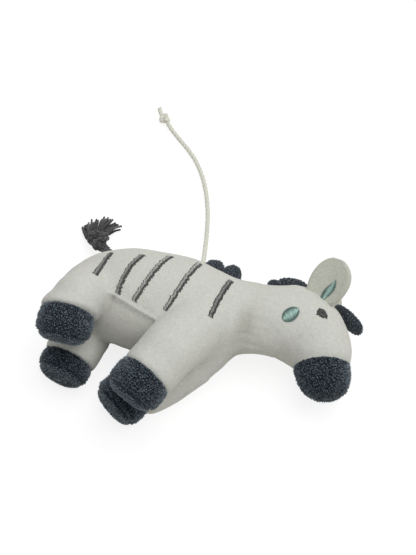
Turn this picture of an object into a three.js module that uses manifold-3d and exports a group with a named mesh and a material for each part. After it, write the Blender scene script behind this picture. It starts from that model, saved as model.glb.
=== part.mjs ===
// A small stuffed zebra on a hanging cord, as it lies on its left side on a table.
// Millimetres. X runs from tail to head, Y from belly to back, Z up from the table.
// The origin is the middle of the flat patch that the body lies on.
import * as THREE from "three";
import { mergeVertices } from "three/addons/utils/BufferGeometryUtils.js";
import Module from "manifold-3d";

const wasm = await Module();
wasm.setup();

// Fabric and fit
const COVER = 1.2; // velour and its backing
const FIT = 0.3; // gap between pieces that touch
const SWING_FIT = 0.6; // gap round a limb that can be bent
const REST_FLAT = 0.5; // depth to which the body is pressed flat on the table

// Body
const BODY_ROLL = 12; // degrees that the back is turned down towards the table
const BODY_WIDTH = 44.8; // from flank to flank
const BARREL_RADIUS = 23.5;
const SHOULDER_RADIUS = 20.8;
const COLLAR_RADIUS = 16.9;
const RUMP_RADIUS = 15.2;
const RUMP_END = -45;
const NECK_X = 44;
const NECK_Y = 2.2;
const BELLY_SEAM = 138; // degrees from the back seam to the belly panel's edge
const BODY_SIDES = 20;
const BODY_RINGS = 12;

// Head
const NECK_BALL = 15.4;
const NECK_RADIUS = 15.1;
const NECK_LENGTH = 15; // straight, from the neck's middle to the bend
const CHEEK_RADIUS = 17.2;
const JAW_CORNER = 0.8; // room inside the bend, under the jaw
const HEAD_BEND = 80; // degrees from the neck to the face
const FACE_LENGTH = 17; // straight, from the bend to the nose's tip
const MUZZLE_RADIUS = 12.4;
const MUZZLE_LENGTH = 15.5;
const NOSE_ROUND = 13.5; // length over which the nose rounds off
const NECK_DROOP = 8.5; // degrees that the neck leans towards the table
const HEAD_ROLL = 4; // degrees that the crown is turned down towards the table
const HEAD_SIDES = 16;
const HEAD_RINGS = 12;
const NECK_NOD = [-12, 12]; // degrees, up and down

// Legs
const LEG_ROOT = 11.5; // radius of the rounded end that sits in the body
const LEG_RADIUS = 11.5;
const ANKLE_RADIUS = 12.1;
const HOOF_RADIUS = 12.4;
const FRONT_HOOF = 14.5; // length of the dark end
const REAR_HOOF = 11.5;
const SOLE_DEPTH = 3; // how far the sole comes up the hoof's end
const FRONT_LEG = 29; // from hip to hoof
const REAR_LEG = 17.5;
const FRONT_HIP_X = 18.5;
const FRONT_HIP_ANGLE = 140; // degrees from the back seam
const REAR_HIP_X = -30;
const RIGHT_REAR_HIP_ANGLE = 113; // on top, and drawn up towards the back
const LEFT_REAR_HIP_ANGLE = 128;
const PANEL_STEP = 4; // how far behind the hips the panels underneath meet
const HIP_SINK = 1.5; // depth of the hip under the body's surface
const LEG_SWING = 12; // degrees that a leg bends to each side
const LEG_SIDES = 12;
const SOCKET_SIDES = 16;

// Ears, mane and forelock
const EAR_LENGTH = 20.5;
const EAR_WIDTH = 18.6;
const EAR_CUP = 3; // how far the sides of the ear curl forward
const EAR_LAYER = 1.3;
const EAR_SINK = 3;
const EAR_STATION = 23.5; // along the head's middle line, from the neck
const EAR_ANGLE = 40; // degrees from the crown
const EAR_FOLD = [-20, 0, 20]; // degrees, back and forward
const TUFT_THICKNESS = 6;
const LOCK_START = 25;
const LOCK_END = 33.5;
const LOCK_ANGLE = 8; // degrees from the crown
const LOCK_WIDTH = 9;
const LOCK_THICKNESS = 6;

// Tail
const TAIL_X = -27;
const TAIL_KNOT = new THREE.Vector3(-35, 32, 4.9);
const TAIL_RADIUS = 2;
const TAIL_KNOT_RADIUS = 4.6;
const TASSEL_LENGTH = 12;
const TASSEL_WIDTH = 17;
const TASSEL_THICKNESS = 6;
const TASSEL_TUCK = 2; // how far the open end starts inside the knot

// Hanging cord
const CORD_RADIUS = 1;
const CORD_HOLE = 1.5;
const CORD_KNOT_RADIUS = 2.7;
const ANCHOR_RADIUS = 3;
const ANCHOR_DEPTH = 8; // from the body's surface to the knot inside
const CORD_X = 16;

// Embroidery
const THREAD = 0.7; // height of the stitches
const STRIPE_WIDTH = 2.6;
const FLANK_LIFT = 101; // degrees from the back seam where the left flank leaves the table
const CHEEK_LENGTH = 8.4;
const CHEEK_WIDTH = 5.4;
const CHEEK_STATION = 13.5;
const CHEEK_ANGLE = 101;
const CHEEK_TILT = 45;
const EYE_SPAN = 4.6;
const EYE_RISE = 2.6;
const EYE_LINE = 1.6;
const EYE_STATION = 24.3;
const EYE_ANGLE = 81; // degrees from the crown
const EYE_TILT = 34;
const LEAF_LENGTH = 9.5;
const LEAF_WIDTH = 3.8;

const velour = { color: 0xe9e7de, roughness: 0.95, metalness: 0 };
const darkVelour = { color: 0x3c474f, roughness: 0.95, metalness: 0 };
const filling = { color: 0xf4f3ee, roughness: 1, metalness: 0 };
const yarn = { color: 0x46494b, roughness: 0.9, metalness: 0 };
const cotton = { color: 0xdfdccd, roughness: 0.85, metalness: 0 };
const greyThread = { color: 0x9c9b90, roughness: 0.6, metalness: 0 };
const darkThread = { color: 0x4b4f4b, roughness: 0.6, metalness: 0 };
const mintThread = { color: 0x93b8ad, roughness: 0.6, metalness: 0 };

const zebra = new THREE.Group();
const degrees = THREE.MathUtils.degToRad;
const lerp = THREE.MathUtils.lerp;
const vector = (x, y, z) => new THREE.Vector3(x, y, z);

function add(name, shape, finish) {
  const geometry = shape.isBufferGeometry ? shape : geometryOf(shape);
  geometry.computeVertexNormals();
  const mesh = new THREE.Mesh(geometry, new THREE.MeshStandardMaterial(finish));
  mesh.name = name;
  zebra.add(mesh);
}

// Shared vertices are merged and triangles without area dropped, so that the surface is closed.
function closed(geometry) {
  const bare = geometry.index ? geometry.clone() : geometry;
  bare.deleteAttribute("normal");
  bare.deleteAttribute("uv");
  const merged = mergeVertices(bare, 1e-4);
  const corners = merged.index.array;
  const kept = [];
  for (let i = 0; i < corners.length; i += 3) {
    const [a, b, c] = [corners[i], corners[i + 1], corners[i + 2]];
    if (a !== b && b !== c && c !== a) kept.push(a, b, c);
  }
  merged.setIndex(volume(merged.attributes.position, kept) < 0 ? kept.reverse() : kept);
  return merged;
}

function volume(position, corners) {
  const [a, b, c] = [vector(), vector(), vector()];
  let sum = 0;
  for (let i = 0; i < corners.length; i += 3) {
    a.fromBufferAttribute(position, corners[i]);
    b.fromBufferAttribute(position, corners[i + 1]);
    c.fromBufferAttribute(position, corners[i + 2]);
    sum += a.dot(b.cross(c)) / 6;
  }
  return sum;
}

function solid(geometry) {
  const shape = closed(geometry);
  const mesh = new wasm.Mesh({
    numProp: 3,
    vertProperties: new Float32Array(shape.attributes.position.array),
    triVerts: new Uint32Array(shape.index.array),
  });
  return new wasm.Manifold(mesh);
}

function geometryOf(shape) {
  const mesh = shape.getMesh();
  const geometry = new THREE.BufferGeometry();
  geometry.setAttribute("position", new THREE.BufferAttribute(new Float32Array(mesh.vertProperties), 3));
  geometry.setIndex(new THREE.BufferAttribute(new Uint32Array(mesh.triVerts), 1));
  return geometry;
}

function ball(center, radius, sides = 16, rings = 10) {
  return solid(new THREE.SphereGeometry(radius, sides, rings).translate(...center.toArray()));
}

// A pad with three different half sizes, turned so that its axes follow the given ones.
function pad(center, along, across, halfLength, halfHeight, halfThickness) {
  const z = along.clone().cross(across).normalize();
  const y = z.clone().cross(along).normalize();
  const frame = new THREE.Matrix4().makeBasis(along.clone().normalize(), y, z).setPosition(center);
  const geometry = new THREE.SphereGeometry(1, 10, 8).scale(halfLength, halfHeight, halfThickness);
  return solid(geometry.applyMatrix4(frame));
}

// Rings of points joined into a closed skin; each end is a single point or a flat cap.
function skin(rings) {
  const positions = [];
  const corners = [];
  const sides = rings[0].length;
  rings.flat().forEach((point) => positions.push(...point.toArray()));
  for (let ring = 0; ring + 1 < rings.length; ring++) {
    for (let side = 0; side < sides; side++) {
      const a = ring * sides + side;
      const b = ring * sides + ((side + 1) % sides);
      corners.push(a, b, a + sides, b, b + sides, a + sides);
    }
  }
  const last = (rings.length - 1) * sides;
  for (let side = 1; side + 1 < sides; side++) {
    corners.push(0, side + 1, side, last, last + side, last + side + 1);
  }
  const geometry = new THREE.BufferGeometry();
  geometry.setAttribute("position", new THREE.Float32BufferAttribute(positions, 3));
  geometry.setIndex(corners);
  return solid(geometry);
}

// A slab between two faces of a curved sheet; pointAt(u, v, height) gives its surface.
function slab(pointAt, stepsU, stepsV, thickness) {
  const positions = [];
  const corners = [];
  for (const height of [0, thickness]) {
    for (let i = 0; i <= stepsU; i++) {
      for (let j = 0; j <= stepsV; j++) {
        positions.push(...pointAt(i / stepsU, j / stepsV, height).toArray());
      }
    }
  }
  const row = stepsV + 1;
  const top = row * (stepsU + 1);
  const quad = (a, b, c, d) => corners.push(a, b, c, a, c, d);
  for (let i = 0; i < stepsU; i++) {
    for (let j = 0; j < stepsV; j++) {
      const a = i * row + j;
      quad(a, a + 1, a + row + 1, a + row);
      quad(top + a, top + a + row, top + a + row + 1, top + a + 1);
    }
    const [left, right] = [i * row, i * row + stepsV];
    quad(left, left + row, top + left + row, top + left);
    quad(right, top + right, top + right + row, right + row);
  }
  for (let j = 0; j < stepsV; j++) {
    const far = stepsU * row + j;
    quad(j, top + j, top + j + 1, j + 1);
    quad(far, far + 1, top + far + 1, top + far);
  }
  const geometry = new THREE.BufferGeometry();
  geometry.setAttribute("position", new THREE.Float32BufferAttribute(positions, 3));
  geometry.setIndex(corners);
  return solid(geometry);
}

const cut = (shape, ...tools) => tools.reduce((left, tool) => left.subtract(tool), shape);
const aboveTable = (shape) => shape.trimByPlane([0, 0, 1], 0);

// A form turned about an axis through a point.
function turned(shape, point, axis, angle) {
  const turn = new THREE.Matrix4().makeRotationAxis(axis, degrees(angle));
  const home = new THREE.Matrix4().makeTranslation(point.clone().negate());
  const back = new THREE.Matrix4().makeTranslation(point);
  return shape.transform(back.multiply(turn).multiply(home).toArray());
}

// The body: round sections along X, from the rump's pole to the collar.
const bodyHeight = BODY_WIDTH / 2 - REST_FLAT;
const flatten = BODY_WIDTH / (2 * BARREL_RADIUS);
const bodyLine = new THREE.CatmullRomCurve3(
  [
    vector(RUMP_END, 2.5, 0),
    vector(RUMP_END + 2.2, 2.4, 0.55 * RUMP_RADIUS),
    vector(RUMP_END + 9, 2.2, RUMP_RADIUS),
    vector(-27, 1.7, lerp(RUMP_RADIUS, BARREL_RADIUS, 0.55)),
    vector(-13, 0.7, lerp(RUMP_RADIUS, BARREL_RADIUS, 0.92)),
    vector(0, 0, BARREL_RADIUS),
    vector(13, -0.5, lerp(SHOULDER_RADIUS, BARREL_RADIUS, 0.7)),
    vector(23, -1.2, SHOULDER_RADIUS),
    vector(34, -0.6, lerp(COLLAR_RADIUS, SHOULDER_RADIUS, 0.25)),
    vector(NECK_X, NECK_Y, COLLAR_RADIUS),
  ],
  false,
  "centripetal",
);

const roll = degrees(BODY_ROLL);
const backward = vector(0, Math.cos(roll), -Math.sin(roll)); // from the middle to the back seam
const sideways = vector(0, Math.sin(roll), Math.cos(roll)); // from the middle to the right flank

// Directions round the body and the head are turned from the back towards the right flank.
function around(angle, back, side) {
  return back.clone().multiplyScalar(Math.cos(angle)).addScaledVector(side, Math.sin(angle));
}

// The point of a curve at a given x, where x only grows along the curve.
function pointAtX(curve, x) {
  let [low, high] = [0, 1];
  for (let i = 0; i < 30; i++) {
    const middle = (low + high) / 2;
    if (curve.getPoint(middle).x < x) low = middle;
    else high = middle;
  }
  return curve.getPoint(low);
}

const bodyStation = (x) => pointAtX(bodyLine, x);

function bodyPointOn(station, angle, offset) {
  const radius = Math.max(station.z + offset, 0);
  const outward = around(angle, backward, sideways);
  return vector(station.x, station.y + radius * outward.y, bodyHeight + radius * flatten * outward.z);
}

const bodyPoint = (x, angle, offset) => bodyPointOn(bodyStation(x), angle, offset);

function bodyForm(offset, pastCollar = 0) {
  const rings = [];
  for (let i = 0; i <= BODY_RINGS; i++) {
    const station = bodyLine.getPoint(i / BODY_RINGS);
    if (i === 0) station.x -= offset;
    if (i === BODY_RINGS) station.x += pastCollar;
    const ring = [];
    for (let side = 0; side < BODY_SIDES; side++) {
      const angle = (side / BODY_SIDES) * 2 * Math.PI;
      ring.push(bodyPointOn(station, angle, i === 0 ? 0 : offset));
    }
    rings.push(ring);
  }
  return skin(rings.map((ring, i) => (i === 0 ? ring.map(() => ring[0]) : ring)));
}

// A wedge along the body's length, which cuts one panel out of the cover.
function panelWedge(from, to) {
  const reach = 2 * BARREL_RADIUS;
  const middle = around((from + to) / 2, backward, sideways);
  const shift = middle.multiplyScalar(FIT / 2 / Math.sin((to - from) / 2));
  const corners = [vector(0, 0, 0)];
  const steps = 6;
  for (let i = 0; i <= steps; i++) {
    corners.push(around(lerp(from, to, i / steps), backward, sideways).multiplyScalar(reach));
  }
  const outline = corners.map((corner) => corner.add(shift).add(vector(0, 0, bodyHeight)));
  const ends = [RUMP_END - COVER, NECK_X + COVER];
  return skin(ends.map((x) => outline.map((corner) => vector(x, corner.y, corner.z))));
}

// The legs, each from its hip on the body's surface towards where its hoof lies.
const rearHip = { x: REAR_HIP_X, length: REAR_LEG, hoof: REAR_HOOF };
const frontHip = { x: FRONT_HIP_X, angle: FRONT_HIP_ANGLE, length: FRONT_LEG, hoof: FRONT_HOOF };
const legs = [
  { name: "right_rear", ...rearHip, angle: RIGHT_REAR_HIP_ANGLE, side: 1, aim: vector(-0.32, -0.95, 0.01) },
  { name: "left_rear", ...rearHip, angle: LEFT_REAR_HIP_ANGLE, side: -1, aim: vector(-0.24, -0.97, 0.04) },
  { name: "right_front", ...frontHip, side: 1, aim: vector(-0.49, -0.87, 0.03) },
  { name: "left_front", ...frontHip, side: -1, aim: vector(-0.735, -0.68, -0.01) },
];

for (const leg of legs) {
  leg.hip = bodyPoint(leg.x, leg.side * degrees(leg.angle), -HIP_SINK);
  leg.aim.normalize();
}

// Half of a leg's lengthwise section starts with its rounded root: distance from the hip, radius.
function rootSection(radius, turns) {
  return turns.map(degrees).map((turn) => [-radius * Math.cos(turn), radius * Math.sin(turn)]);
}

function legSection({ length, hoof }, offset) {
  const section = rootSection(LEG_ROOT + offset, [0, 40, 75]);
  section.push([0.25 * length, LEG_RADIUS + offset]);
  section.push([length, ANKLE_RADIUS + offset]);
  section.push([length + 0.35 * hoof, HOOF_RADIUS + offset]);
  const round = 0.65 * hoof + offset;
  for (const angle of [35, 65]) {
    const along = Math.pow(Math.sin(degrees(angle)), 0.75);
    const out = Math.pow(Math.cos(degrees(angle)), 0.6);
    section.push([length + hoof + offset - round * (1 - along), (HOOF_RADIUS + offset) * out]);
  }
  section.push([length + hoof + offset, 0]);
  return section;
}

function turnedAlong(leg, section, sides) {
  const points = section.map(([along, radius]) => new THREE.Vector2(radius, along));
  const turn = new THREE.Quaternion().setFromUnitVectors(vector(0, 1, 0), leg.aim);
  const frame = new THREE.Matrix4().makeRotationFromQuaternion(turn).setPosition(leg.hip);
  return solid(new THREE.LatheGeometry(points, sides).applyMatrix4(frame));
}

// A leg's whole form, or the form of its stuffing, from the rounded root to the hoof's end.
const legForm = (leg, offset) => turnedAlong(leg, legSection(leg, offset), LEG_SIDES);

// The room that a leg takes in the body as it bends: a round hollow that opens outwards.
function legSocket(leg) {
  const flare = Math.tan(degrees(LEG_SWING));
  const mouth = 2 * LEG_RADIUS;
  const root = rootSection(LEG_ROOT + SWING_FIT, [0, 25, 50, 75]);
  const tight = LEG_RADIUS / Math.cos(degrees(LEG_SWING)) + SWING_FIT;
  const cone = [0.5, mouth].map((along) => [along, tight + along * flare]);
  return turnedAlong(leg, [...root, ...cone, [mouth, 0]], SOCKET_SIDES);
}

// The head: round sections along a middle line that runs straight, bends and runs straight again.
const neck = vector(NECK_X, NECK_Y, bodyHeight);
const jawReach = CHEEK_RADIUS + JAW_CORNER;
const headBend = degrees(HEAD_BEND);
const headLength = NECK_LENGTH + jawReach * headBend + FACE_LENGTH;
const muzzleStart = headLength - MUZZLE_LENGTH;
const forward = vector(Math.cos(degrees(NECK_DROOP)), 0, -Math.sin(degrees(NECK_DROOP)));
const upFace = vector(0, Math.cos(degrees(HEAD_ROLL)), -Math.sin(degrees(HEAD_ROLL)));
const headSide = forward.clone().cross(upFace).normalize();
const crownWay = headSide.clone().cross(forward);
const jaw = neck.clone().addScaledVector(forward, NECK_LENGTH).addScaledVector(crownWay, -jawReach);
const headRadii = new THREE.SplineCurve([
  new THREE.Vector2(-5, NECK_RADIUS),
  new THREE.Vector2(2, NECK_RADIUS),
  new THREE.Vector2(NECK_LENGTH, lerp(NECK_RADIUS, CHEEK_RADIUS, 0.75)),
  new THREE.Vector2(NECK_LENGTH + 0.35 * jawReach * headBend, CHEEK_RADIUS),
  new THREE.Vector2(muzzleStart, MUZZLE_RADIUS + 0.4),
  new THREE.Vector2(headLength - NOSE_ROUND, MUZZLE_RADIUS),
]);

function headRadius(along, offset) {
  const past = along - (headLength - NOSE_ROUND);
  if (past <= 0) return pointAtX(headRadii, along).y + offset;
  const share = Math.min(past / (NOSE_ROUND + offset), 1);
  return (MUZZLE_RADIUS + offset) * Math.pow(1 - Math.pow(share, 2.4), 1 / 2.4);
}

function headFrame(along) {
  const bend = THREE.MathUtils.clamp((along - NECK_LENGTH) / jawReach, 0, headBend);
  const tangent = around(bend, forward, crownWay.clone().negate());
  const back = around(bend, crownWay, forward);
  const straight = along - NECK_LENGTH - jawReach * bend;
  const center = jaw.clone().addScaledVector(back, jawReach).addScaledVector(tangent, straight);
  return { center, tangent, back };
}

function headPoint(along, angle, offset) {
  const { center, back } = headFrame(along);
  return center.addScaledVector(around(angle, back, headSide), headRadius(along, offset));
}

function headForm(offset, from = 0) {
  const rings = [];
  const end = headLength + offset;
  for (let i = 0; i <= HEAD_RINGS; i++) {
    const share = i / HEAD_RINGS;
    const along = lerp(from, end, lerp(share, Math.sin((share * Math.PI) / 2), share));
    const ring = [];
    for (let side = 0; side < HEAD_SIDES; side++) {
      const angle = (side / HEAD_SIDES) * 2 * Math.PI;
      ring.push(i === HEAD_RINGS ? headFrame(end).center : headPoint(along, angle, offset));
    }
    rings.push(ring);
  }
  return skin(rings);
}

// What sits in the body: hips, neck, tail and cord, each in a round hollow with room to turn.
const tailBase = bodyPoint(TAIL_X, 0, 0);
const cordExit = bodyPoint(CORD_X, 0, 0);
const anchor = bodyPoint(CORD_X, 0, -ANCHOR_DEPTH);
const inward = anchor.clone().sub(cordExit).normalize();

function tube(points, radius, sides, steps) {
  const circle = new THREE.Shape();
  circle.absarc(0, 0, radius, 0, 2 * Math.PI);
  const route = points.length > 2 ? new THREE.CatmullRomCurve3(points) : new THREE.LineCurve3(...points);
  const settings = { extrudePath: route, steps, curveSegments: sides / 2 };
  return solid(new THREE.ExtrudeGeometry(circle, settings));
}

const legSockets = legs.map(legSocket);
const sockets = [
  ...legSockets,
  ball(neck, NECK_BALL + SWING_FIT),
  ball(tailBase, TAIL_RADIUS + SWING_FIT, 8, 6),
  ball(cordExit, CORD_HOLE, 8, 6),
];
const cordChannel = tube([anchor, cordExit], CORD_RADIUS + FIT, 8, 1);
const anchorPocket = ball(anchor, ANCHOR_RADIUS + FIT, 10, 8);

// Cover of the body: two flank panels, and three panels underneath between and beside the legs.
const bodyShell = aboveTable(cut(bodyForm(0), bodyForm(-COVER, COVER), ...sockets, cordChannel));
const seam = degrees(BELLY_SEAM);
add("torso_cover_right", bodyShell.intersect(panelWedge(0, seam)), velour);
add("torso_cover_left", bodyShell.intersect(panelWedge(-seam, 0)), velour);
const underside = bodyShell.intersect(panelWedge(seam, 2 * Math.PI - seam));
const ahead = (shape, x) => shape.trimByPlane([1, 0, 0], x + FIT / 2);
const behind = (shape, x) => shape.trimByPlane([-1, 0, 0], FIT / 2 - x);
const frontSeam = FRONT_HIP_X - PANEL_STEP;
const rearSeam = REAR_HIP_X - PANEL_STEP;
add("chest_panel", ahead(underside, frontSeam), velour);
add("belly_panel", behind(ahead(underside, rearSeam), frontSeam), velour);
add("seat_panel", behind(underside, rearSeam), velour);
add("torso_filling", cut(bodyForm(-COVER - FIT), ...sockets, cordChannel, anchorPocket), filling);

// Each leg: a white sleeve, a dark hoof with its sole, and the stuffing.
for (const leg of legs) {
  const from = leg.aim.dot(leg.hip);
  const past = (shape, along) => shape.trimByPlane(leg.aim.toArray(), from + along);
  const before = (shape, along) => shape.trimByPlane(leg.aim.clone().negate().toArray(), -from - along);
  const shell = aboveTable(legForm(leg, 0).subtract(legForm(leg, -COVER)));
  const end = leg.length + leg.hoof - SOLE_DEPTH;
  const mouth = -0.7 * LEG_ROOT; // the sleeve's root is left open for the stuffing
  add(`${leg.name}_leg_cover`, before(past(shell, mouth), leg.length - FIT / 2), velour);
  add(`${leg.name}_hoof_cover`, before(past(shell, leg.length + FIT / 2), end - FIT / 2), darkVelour);
  add(`${leg.name}_hoof_sole`, past(shell, end + FIT / 2), darkVelour);
  add(`${leg.name}_leg_filling`, past(legForm(leg, -COVER - FIT), mouth), filling);
}

// The head: two cheek panels that meet over the crown, a dark muzzle, and the stuffing with its neck.
const headShell = aboveTable(headForm(0).subtract(headForm(-COVER, -COVER)));
const muzzleFrame = headFrame(muzzleStart);
const muzzleWay = muzzleFrame.tangent;
const muzzleAt = muzzleWay.dot(muzzleFrame.center);
const face = headShell.trimByPlane(muzzleWay.clone().negate().toArray(), -muzzleAt + FIT / 2);
const middle = headSide.dot(neck);
add("head_cover_right", face.trimByPlane(headSide.toArray(), middle + FIT / 2), velour);
add("head_cover_left", face.trimByPlane(headSide.clone().negate().toArray(), -middle + FIT / 2), velour);
add("muzzle_cover", headShell.trimByPlane(muzzleWay.toArray(), muzzleAt + FIT / 2), darkVelour);
const neckAt = forward.dot(neck);
const neckRoot = ball(neck, NECK_BALL).trimByPlane(forward.clone().negate().toArray(), FIT - neckAt);
add("head_filling", headForm(-COVER - FIT, -COVER).add(neckRoot), filling);

// Each ear: a cupped petal of two layers, sewn into the head at its foot, with a stitched leaf inside.
const ears = [
  { name: "right", front: 1, lean: vector(0.15, 0.86, 0.5), spread: vector(0.93, -0.3, 0.2) },
  { name: "left", front: -1, lean: vector(-0.1, 0.97, -0.18), spread: vector(0.95, 0.1, 0.15) },
];
const headWithRoom = headForm(FIT);

for (const ear of ears) {
  const foot = headPoint(EAR_STATION, ear.front * degrees(EAR_ANGLE), -EAR_SINK);
  const way = ear.lean.normalize();
  const across = ear.spread.addScaledVector(way, -ear.spread.dot(way)).normalize();
  const facing = across.clone().cross(way).multiplyScalar(ear.front);
  const earPoint = (along, side, lift) => {
    const curl = EAR_CUP * Math.pow(side / (EAR_WIDTH / 2), 2);
    const point = foot.clone().addScaledVector(way, along).addScaledVector(across, side);
    return point.addScaledVector(facing, lift + curl);
  };
  const petal = (lift) => (u, v, height) => {
    const half = (EAR_WIDTH / 2) * Math.pow(Math.sin(Math.PI * lerp(0.2, 0.985, u)), 0.5);
    return earPoint(u * (EAR_LENGTH + EAR_SINK), (2 * v - 1) * half, lift + height);
  };
  const leaf = (u, v, height) => {
    const half = (LEAF_WIDTH / 2) * Math.sin(Math.PI * lerp(0.06, 0.94, u));
    const along = EAR_SINK + 3 + u * LEAF_LENGTH;
    return earPoint(along, 2 + 2.5 * u + (2 * v - 1) * half, EAR_LAYER + FIT + height);
  };
  const headSwung = EAR_FOLD.map((angle) => turned(headWithRoom, foot, across, -ear.front * angle));
  add(`ear_back_${ear.name}`, cut(slab(petal(-EAR_LAYER - FIT), 7, 5, EAR_LAYER), ...headSwung), velour);
  add(`ear_front_${ear.name}`, cut(slab(petal(0), 7, 5, EAR_LAYER), ...headSwung), velour);
  add(`ear_leaf_${ear.name}`, slab(leaf, 6, 2, THREAD), mintThread);
}

// The mane: padded tufts sewn into the seam along the back, on the body and on the head.
const bodyWithRoom = bodyForm(FIT);
const bodyNodded = NECK_NOD.map((angle) => turned(bodyWithRoom, neck, headSide, -angle));
const onBody = (x, length, height) => ({
  foot: bodyPoint(x, 0, 0),
  ahead: bodyPoint(x + 1, 0, 0),
  up: backward,
  rooms: [bodyWithRoom],
  length,
  height,
});
const onHead = (along, length, height) => ({
  foot: headPoint(along, 0, 0),
  ahead: headPoint(along + 1, 0, 0),
  up: headFrame(along).back,
  rooms: [headWithRoom, ...bodyNodded],
  length,
  height,
});
const tufts = [
  onBody(21.8, 8.4, 10.2),
  onBody(30.2, 7.8, 10.8),
  onHead(5, 6, 5.4),
  onHead(12, 7.2, 6.6),
  onHead(18.8, 5.8, 8),
];

tufts.forEach(({ foot, ahead, up, rooms, length, height }, i) => {
  const middleUp = foot.clone().addScaledVector(up, 0.3 * height);
  const along = ahead.sub(foot);
  const shape = pad(middleUp, along, up, length / 2, 0.7 * height, TUFT_THICKNESS / 2);
  add(`mane_tuft_${i + 1}`, cut(shape, ...rooms), darkVelour);
});

// The forelock: a padded lock sewn in before the ears, lying down the forehead.
const lockRoot = headPoint(LOCK_START, degrees(LOCK_ANGLE), 1.5);
const lockTip = headPoint(LOCK_END, degrees(LOCK_ANGLE), 5);
const lockWay = lockTip.clone().sub(lockRoot);
const lockUp = headSide.clone().cross(lockWay).normalize();
const lockMiddle = lockRoot.clone().lerp(lockTip, 0.5);
const lock = pad(lockMiddle, lockWay, lockUp, lockWay.length() / 2, LOCK_THICKNESS / 2, LOCK_WIDTH / 2);
add("forelock", cut(lock, headWithRoom), darkVelour);

// The tail: a twisted yarn stem with a knot and an open end.
const knotWay = TAIL_KNOT.clone().sub(tailBase).normalize();
const stemEnd = TAIL_KNOT.clone().addScaledVector(knotWay, -TAIL_KNOT_RADIUS - FIT);
add("tail_stem", tube([tailBase, stemEnd], TAIL_RADIUS, 8, 4), yarn);
add("tail_knot", ball(TAIL_KNOT, TAIL_KNOT_RADIUS, 12, 8), yarn);
const tasselHalf = TASSEL_LENGTH / 2;
const tasselY = TAIL_KNOT.y + TAIL_KNOT_RADIUS - TASSEL_TUCK + tasselHalf;
const tasselMiddle = vector(TAIL_KNOT.x, tasselY, TASSEL_THICKNESS / 2 + FIT);
const [lengthwise, crosswise] = [vector(0, 1, 0), vector(1, 0, 0)];
const tassel = pad(tasselMiddle, lengthwise, crosswise, tasselHalf, TASSEL_WIDTH / 2, TASSEL_THICKNESS / 2);
add("tail_tassel", aboveTable(cut(tassel, ball(TAIL_KNOT, TAIL_KNOT_RADIUS + FIT, 12, 8))), yarn);

// The hanging cord, loose on the table, with the knot at its end and the knot that holds it inside.
const cordPoints = [
  cordExit,
  vector(15.8, 26.5, 11.5),
  vector(15.4, 32, 6.5),
  vector(14.8, 38.5, 2.6),
  vector(14, 47.5, 1.3),
  vector(12.6, 58, 1.3),
  vector(10, 68.5, 1.3),
  vector(6.6, 77.3, 1.3),
  vector(2.2, 85, 1.3),
  vector(-2.8, 91, 1.3),
  vector(-8.3, 96.2, 1.3),
  vector(-13.2, 101, 1.3),
  vector(-15.6, 103.6, 2.2),
];
const cordKnot = vector(-17.7, 105.8, CORD_KNOT_RADIUS + 0.1);
const cordTail = [vector(-19.6, 108, 2.2), vector(-20.6, 109.8, 1.3), vector(-21.5, 112, 1.3)];
const stubEnd = cordExit.clone().addScaledVector(inward, CORD_HOLE);
const stub = tube([anchor, stubEnd], CORD_RADIUS, 8, 1);
add("cord_anchor", ball(anchor, ANCHOR_RADIUS, 10, 8).add(stub), cotton);
add("cord_knot", ball(cordKnot, CORD_KNOT_RADIUS, 10, 8), cotton);
const knotRoom = ball(cordKnot, CORD_KNOT_RADIUS + FIT, 10, 8);
add("hanging_cord", cut(aboveTable(tube(cordPoints, CORD_RADIUS, 8, 26)), knotRoom), cotton);
add("cord_tail", cut(aboveTable(tube(cordTail, CORD_RADIUS, 8, 3)), knotRoom), cotton);

// Stripes: satin stitching on both flanks, from near the back seam down to the belly seam.
const stripes = [
  { top: [-24, 60], bottom: [-25.2, 78], pressed: false },
  { top: [-9, 68], bottom: [-15.2, 128], pressed: true },
  { top: [2.8, 62], bottom: [-7.4, 131], pressed: true },
  { top: [16.3, 57], bottom: [6.5, 135], pressed: true },
  { top: [31.4, 69], bottom: [26.6, 132], pressed: false },
];

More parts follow.
